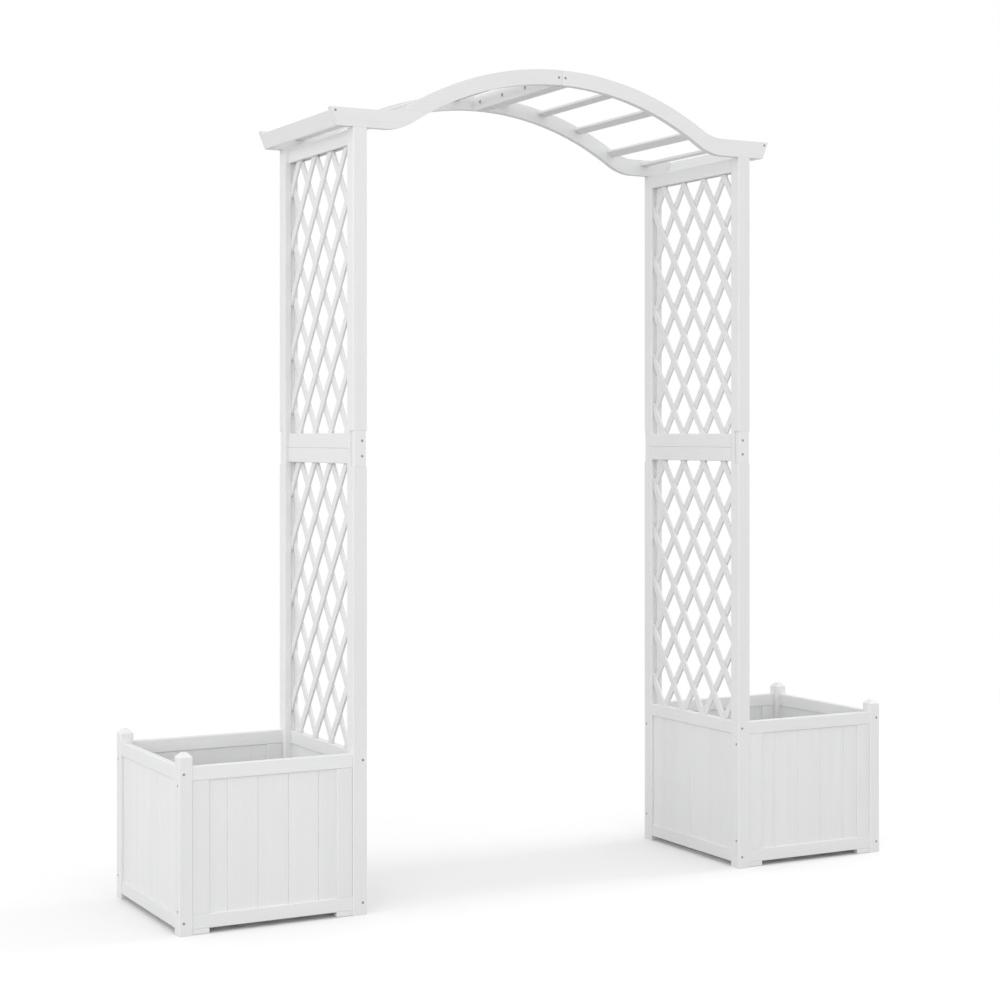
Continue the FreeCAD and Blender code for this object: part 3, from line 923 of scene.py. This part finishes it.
def make_slat_recipe():
    recipe = Recipe("slats_along_a_path")
    count = recipe.value("Count", "Int")
    first = recipe.value("First run")
    pitch = recipe.value("Pitch")
    size = recipe.value("Slat size", "Vector")
    lift = recipe.value("Lift")
    way = recipe.value("Way along X")
    seed = recipe.value("Seed", "Int")
    start = recipe.start
    path = start.node("GeometryNodeMeshToCurve", None, {"Mesh": start})
    slat = slat_along_y(start, size)
    slat = start.node("GeometryNodeTransform", None,
                      {"Geometry": slat, "Translation": vector(0.0, 0.0, lift)})
    line = row(start, count, (1.0, 0.0, 0.0))
    index = start.node("GeometryNodeInputIndex")
    sample = start.node("GeometryNodeSampleCurve", {"mode": "LENGTH"},
                        {"Curves": path, "Length": first + pitch * index}, "Position")
    tangent = Wire(sample.tree, sample.socket.node.outputs["Tangent"])
    # A path that runs to the left would turn its slats upside down, so its tangent is reversed
    ahead = start.node("ShaderNodeVectorMath", {"operation": "SCALE"}, {0: tangent, "Scale": way})
    turn = start.node("FunctionNodeAlignRotationToVector", {"axis": "X", "pivot_axis": "Y"},
                      {"Vector": ahead})
    spots = start.node("GeometryNodeSetPosition", None, {"Geometry": line, "Position": sample})
    slats = start.node("GeometryNodeInstanceOnPoints", None,
                       {"Points": spots, "Instance": slat, "Rotation": turn})
    recipe.end(random_tone(slats, seed))
    return recipe


slat_recipe = make_slat_recipe()
slat_pitch = (path_run - LAST_SLAT_INSET - FIRST_SLAT_RUN) / (SLAT_COUNT - 1)
for side in SIDES:
    node = "arch_slats_" + side
    low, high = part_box(node)
    way = 1 if side == "right" else -1
    mesh = bpy.data.meshes.new(node)
    points = [(way * x, y, z) for x, y, z in arch_path()]
    mesh.from_pydata(points, [(step, step + 1) for step in range(len(points) - 1)], [])
    piece = new_piece("painted_" + node, mesh)
    slat_size = (SLAT_WIDTH, high.y - low.y, SLAT_THICKNESS)
    slat_recipe.use(piece, paint, {"Count": SLAT_COUNT, "First run": FIRST_SLAT_RUN,
                                   "Pitch": slat_pitch, "Slat size": slat_size,
                                   "Lift": SLAT_LIFT, "Way along X": float(way),
                                   "Seed": SLAT_SEED + way})
    bake(piece)
    finish_recipe_timber(piece, SLAT_EASE, SLAT_EASE_STEPS, node)
    print(piece.name, len(piece.data.polygons), "faces")

# %% [markdown]
# ## The planter's floor
# Loose slats lie across two cleats, with gaps that let water out. They repeat on a straight line.

# %% The floor recipe
FLOOR_SLAT_COUNT = 5
FLOOR_SLAT_GAP = 14 * MM
FLOOR_SLAT_SEED = 90


def make_floor_recipe():
    recipe = Recipe("floor_slats")
    count = recipe.value("Count", "Int")
    pitch = recipe.value("Pitch")
    size = recipe.value("Slat size", "Vector")
    seed = recipe.value("Seed", "Int")
    start = recipe.start
    slat = slat_along_y(start, size)
    line = row(start, count, vector(pitch, 0.0, 0.0))
    slats = start.node("GeometryNodeInstanceOnPoints", None, {"Points": line, "Instance": slat})
    recipe.end(random_tone(slats, seed))
    return recipe


floor_recipe = make_floor_recipe()
for side in SIDES:
    node = side + "_base_slats"
    low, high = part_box(node)
    pitch = (high.x - low.x + FLOOR_SLAT_GAP) / FLOOR_SLAT_COUNT
    size = (pitch - FLOOR_SLAT_GAP, high.y - low.y, high.z - low.z)
    piece = new_piece("painted_" + node, bpy.data.meshes.new(node))
    floor_recipe.use(piece, paint, {"Count": FLOOR_SLAT_COUNT, "Pitch": pitch,
                                    "Slat size": size, "Seed": FLOOR_SLAT_SEED + SIDES.index(side)})
    bake(piece)
    piece.data.transform(Matrix.Translation((low.x + size[0] / 2, 0, (low.z + high.z) / 2)))
    finish_recipe_timber(piece, SLAT_EASE, EASE_STEPS, node)
    print(piece.name, len(piece.data.polygons), "faces")

# %% [markdown]
# ## Screws and bolts
# Countersunk screws with a cross recess hold the frames, and three bolts clamp the crown boards.
# Only the heads show, but at full size a flat disc would give itself away, so the recess is cut
# into the head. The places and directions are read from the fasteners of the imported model, and
# one recipe drives a screw at each, turned at random as a workshop leaves them.

# %% Master screw and bolt
HEAD_RADIUS = 3.75 * MM
SHANK_RADIUS = 2 * MM
SCREW_TIP = 4 * MM
RECESS_REACH = 2.1 * MM
RECESS_HALF = 0.55 * MM
RECESS_DEPTH = 1.4 * MM
RECESS_TAPER = 0.55
HEAD_SIDES = 20
HEAD_RIM = 0.25 * MM
BOLT_RADIUS = 4.5 * MM
BOLT_SHANK = 2.5 * MM
BOLT_HEAD = 3 * MM
NUT_CHAMFER = 0.5 * MM

# A bolt's domed head: share of its radius, and depth
BOLT_DOME = ((0.62, 0), (0.86, 0.5 * MM), (1, 1.5 * MM))


def circle(work, radius, z, sides):
    return [work.verts.new((radius * math.cos(math.tau * index / sides),
                            radius * math.sin(math.tau * index / sides), z))
            for index in range(sides)]


def cross(work, share, z):
    """The twelve corners of a cross recess, drawn in by a share."""
    reach = RECESS_REACH * share
    half = RECESS_HALF * share
    arm = [(reach, -half), (reach, half), (half, half)]
    corners = []
    for quarter in range(4):
        turn = Matrix.Rotation(quarter * math.pi / 2, 2)
        corners += [turn @ Vector(point) for point in arm]
    return [work.verts.new((x, y, z)) for x, y in corners]


def wall(work, near, far):
    """Join two rings of as many points with a band of faces."""
    for index in range(len(near)):
        after = (index + 1) % len(near)
        work.faces.new((near[index], near[after], far[after], far[index]))


def loop_edges(work, ring):
    return [work.edges.get((a, b)) or work.edges.new((a, b))
            for a, b in zip(ring, ring[1:] + ring[:1])]


def recessed_top(work, rim):
    """Close a rim with a flat top that has a tapered cross recess."""
    z = rim[0].co.z
    mouth = cross(work, 1, z)
    bottom = cross(work, RECESS_TAPER, z + RECESS_DEPTH)
    bmesh.ops.triangle_fill(work, use_beauty=True,
                            edges=loop_edges(work, rim) + loop_edges(work, mouth))
    wall(work, mouth, bottom)
    work.faces.new(bottom)


def turned(name, rings, sides, tip=None):
    """A fastener along +Z from its recessed head, through rings of (radius, depth)."""
    work = bmesh.new()
    bands = [circle(work, radius, depth, sides) for radius, depth in rings]
    for near, far in zip(bands, bands[1:]):
        wall(work, near, far)
    recessed_top(work, bands[0])
    if tip is None:
        work.faces.new(bands[-1])
    else:
        point = work.verts.new((0, 0, tip))
        for a, b in zip(bands[-1], bands[-1][1:] + bands[-1][:1]):
            work.faces.new((a, b, point))
    bmesh.ops.recalc_face_normals(work, faces=work.faces)
    mesh = bpy.data.meshes.new(name)
    work.to_mesh(mesh)
    work.free()
    return new_piece(name, mesh)


def screw_master(length):
    cone = HEAD_RADIUS - SHANK_RADIUS
    rings = [(HEAD_RADIUS - HEAD_RIM, 0), (HEAD_RADIUS, HEAD_RIM), (SHANK_RADIUS, cone + HEAD_RIM),
             (SHANK_RADIUS, length - SCREW_TIP)]
    return turned("screw_master", rings, HEAD_SIDES, length)


def bolt_master(length):
    grip_end = length - BOLT_HEAD
    rings = [(share * BOLT_RADIUS, depth) for share, depth in BOLT_DOME]
    rings += [(BOLT_RADIUS, BOLT_HEAD), (BOLT_SHANK, BOLT_HEAD), (BOLT_SHANK, grip_end),
              (BOLT_RADIUS, grip_end), (BOLT_RADIUS, length - NUT_CHAMFER),
              (BOLT_RADIUS - NUT_CHAMFER, length)]
    return turned("bolt_master", rings, HEAD_SIDES)


print("masters ready")

# %% The driving recipe
def make_driving_recipe():
    """A fastener at each point, turned to the point's way and spun at random."""
    recipe = Recipe("driven_fasteners")
    master = recipe.value("Fastener", "Object")
    seed = recipe.value("Seed", "Int")
    start = recipe.start
    way = start.node("GeometryNodeInputNamedAttribute", {"data_type": "FLOAT_VECTOR"},
                     {"Name": "way"}, 0)
    info = start.node("GeometryNodeObjectInfo", None, {"Object": master}, "Geometry")
    turn = start.node("FunctionNodeAlignRotationToVector", {"axis": "Z"}, {"Vector": way})
    spin = start.node("FunctionNodeRandomValue", {"data_type": "FLOAT"},
                      {2: 0.0, 3: math.pi / 2, 8: seed}, 1)
    twist = start.node("FunctionNodeEulerToRotation", None, {"Euler": vector(0.0, 0.0, spin)})
    turn = start.node("FunctionNodeRotateRotation", {"rotation_space": "LOCAL"},
                      {"Rotation": turn, "Rotate By": twist})
    driven = start.node("GeometryNodeInstanceOnPoints", None,
                        {"Points": start, "Instance": info, "Rotation": turn})
    recipe.end(driven)
    return recipe


def driven_place(points):
    """Where a fastener's head is, the way it is driven, and its length."""
    low, high = box_of(points)
    axis = longest_axis(low, high)
    middle = (low + high) / 2
    length = high[axis] - low[axis]
    across = [other for other in range(3) if other != axis]
    spread = {}
    for end in (low[axis], high[axis]):
        near = [point for point in points if abs(point[axis] - end) < WELD]
        spread[end] = max(abs(point[other] - middle[other]) for point in near for other in across)
    head = max(spread, key=spread.get)
    place = middle.copy()
    place[axis] = head
    way = Vector((0, 0, 0))
    way[axis] = 1 if head == low[axis] else -1
    return place, way, length


driving_recipe = make_driving_recipe()
for number, node in enumerate(SCREW_NODES + ("crown_bolts",)):
    spots = [driven_place(points) for points in node_solids(node)]
    length = spots[0][2]
    master = bolt_master(length) if node == "crown_bolts" else screw_master(length)
    mesh = bpy.data.meshes.new(node)
    mesh.from_pydata([place for place, _, _ in spots], [], [])
    ways = mesh.attributes.new("way", "FLOAT_VECTOR", "POINT")
    for item, (_, way, _) in zip(ways.data, spots):
        item.vector = way
    piece = new_piece("zinc_" + node, mesh)
    driving_recipe.use(piece, zinc, {"Fastener": master, "Seed": number})
    bake(piece)
    bpy.data.objects.remove(master)
    piece.data.set_sharp_from_angle(angle=CREASE)
    stand_for(piece, "yellow_zinc", node)
    print(piece.name, len(spots), "at", round(length / MM), "mm,", len(piece.data.polygons), "faces")

# %% [markdown]
# ## Floor and light
# The picture is a bright studio: a white floor that runs out of sight, even light all round, three
# broad lamps that lift the left and front faces, and a smaller one on the right that lays a soft
# shadow to the left. Far from the object the floor fades to pure white. Seen directly, floor and
# world are white, while the light that they send back to the timber stays lower, so that
# undersides turn grey.

# %% The stage
FLOOR_SIZE = 60.0
FADE_MIDDLE = (-0.4, -0.3)
FADE_REACH = (2.3, 1.7)
FADE_START = 1.0
FADE_END = 2.6
FLOOR_BOUNCE = (0.42, 0.42, 0.42, 1)
FLOOR_SEEN = (0.918, 0.918, 0.918, 1)
WHITE = (1, 1, 1, 1)
WORLD_LIGHT = 0.957

# Each lamp: place, target, size in metres and power in watts
LAMPS = {
    "front_softbox": ((1.0, -9.0, 2.1), (0, 0, 1.0), 4.0, 62),
    "front_left_softbox": ((-6.5, -6.5, 2.1), (0, 0, 1.0), 4.0, 146),
    "left_softbox": ((-9.0, -1.0, 3.4), (0, 0, 1.0), 4.0, 132),
    "right_softbox": ((9.0, -0.3, 3.6), (0, 0, 0.4), 3.0, 260),
}


def seen_directly(tree):
    """One for rays from the camera, from gloss or through glass, and zero for light paths."""
    path = Wire(tree).node("ShaderNodeLightPath")
    names = ("Is Camera Ray", "Is Glossy Ray", "Is Transmission Ray")
    camera, gloss, glass = [Wire(tree, path.socket.node.outputs[name]) for name in names]
    seen = camera.maths("MAXIMUM", camera, gloss)
    return seen.maths("MAXIMUM", seen, glass)


def make_floor():
    material, tree, shader = new_material("white_studio_floor")
    shader.inputs["Roughness"].default_value = 1.0
    shader.inputs["Specular IOR Level"].default_value = 0.0
    seen = seen_directly(tree)
    colour = seen.mixed(FLOOR_BOUNCE, FLOOR_SEEN)
    tree.links.new(colour.socket, shader.inputs["Base Color"])
    place = Wire(tree).node("ShaderNodeTexCoord", None, None, "Object")
    x, y, _ = place.node("ShaderNodeSeparateXYZ", None, {0: place}).others()
    across = (x - FADE_MIDDLE[0]) / FADE_REACH[0]
    away = (y - FADE_MIDDLE[1]) / FADE_REACH[1]
    distance = (across * across + away * away) ** 0.5
    fade = distance.node("ShaderNodeMapRange", {"interpolation_type": "SMOOTHSTEP"},
                         {"Value": distance, "From Min": FADE_START, "From Max": FADE_END})
    white = fade.node("ShaderNodeEmission", None, {"Color": WHITE, "Strength": 1.0})
    lit = Wire(tree, shader.outputs["BSDF"])
    blend = fade.node("ShaderNodeMixShader", None, {0: fade * seen, 1: lit, 2: white})
    tree.links.new(blend.socket, tree.nodes["Material Output"].inputs["Surface"])
    half = FLOOR_SIZE / 2
    mesh = bpy.data.meshes.new("studio_floor")
    corners = [(-half, -half, 0), (half, -half, 0), (half, half, 0), (-half, half, 0)]
    mesh.from_pydata(corners, [], [(0, 1, 2, 3)])
    mesh.materials.append(material)
    floor = new_piece("studio_floor", mesh)


def make_world():
    world = bpy.data.worlds.new("white_studio")
    world.use_nodes = True
    tree = world.node_tree
    background = tree.nodes["Background"]
    background.inputs["Color"].default_value = WHITE
    strength = WORLD_LIGHT + seen_directly(tree) * (1 - WORLD_LIGHT)
    tree.links.new(strength.socket, background.inputs["Strength"])
    bpy.context.scene.world = world


def soft_lamp(name, place, target, size, power):
    lamp = bpy.data.lights.new(name, "AREA")
    lamp.size = size
    lamp.energy = power
    holder = bpy.data.objects.new(name, lamp)
    holder.location = place
    aim = Vector(target) - Vector(place)
    holder.rotation_euler = aim.to_track_quat("-Z", "Y").to_euler()
    bpy.context.scene.collection.objects.link(holder)


make_floor()
make_world()
for name, settings in LAMPS.items():
    soft_lamp(name, *settings)
bpy.context.scene.view_settings.view_transform = "Standard"
print("stage ready:", len(LAMPS), "lamps")

# %% [markdown]
# ## The camera
# The photograph is taken level from chest height, to the left of the passage, with a long lens.
# A level camera keeps the posts upright, and a small shift puts the horizon where it belongs.

# %% Camera at the photograph's place
IMAGE_SIZE = 1000
SENSOR = 36.0
FOCAL_PIXELS = 2021.93
HORIZON_ROW = 437.3
CAMERA_PLACE = (-2.711, -4.9318, 1.2124)
CAMERA_TURN = 0.4938

lens = bpy.data.cameras.new("camera")
lens.sensor_width = SENSOR
lens.lens = FOCAL_PIXELS / IMAGE_SIZE * SENSOR
lens.shift_y = (HORIZON_ROW - IMAGE_SIZE / 2) / IMAGE_SIZE
camera = bpy.data.objects.new("camera", lens)
camera.location = CAMERA_PLACE
camera.rotation_euler = (math.pi / 2, 0, -CAMERA_TURN)
bpy.context.scene.collection.objects.link(camera)
bpy.context.scene.camera = camera
print("lens:", round(lens.lens, 2), "mm, shift", round(lens.shift_y, 4))
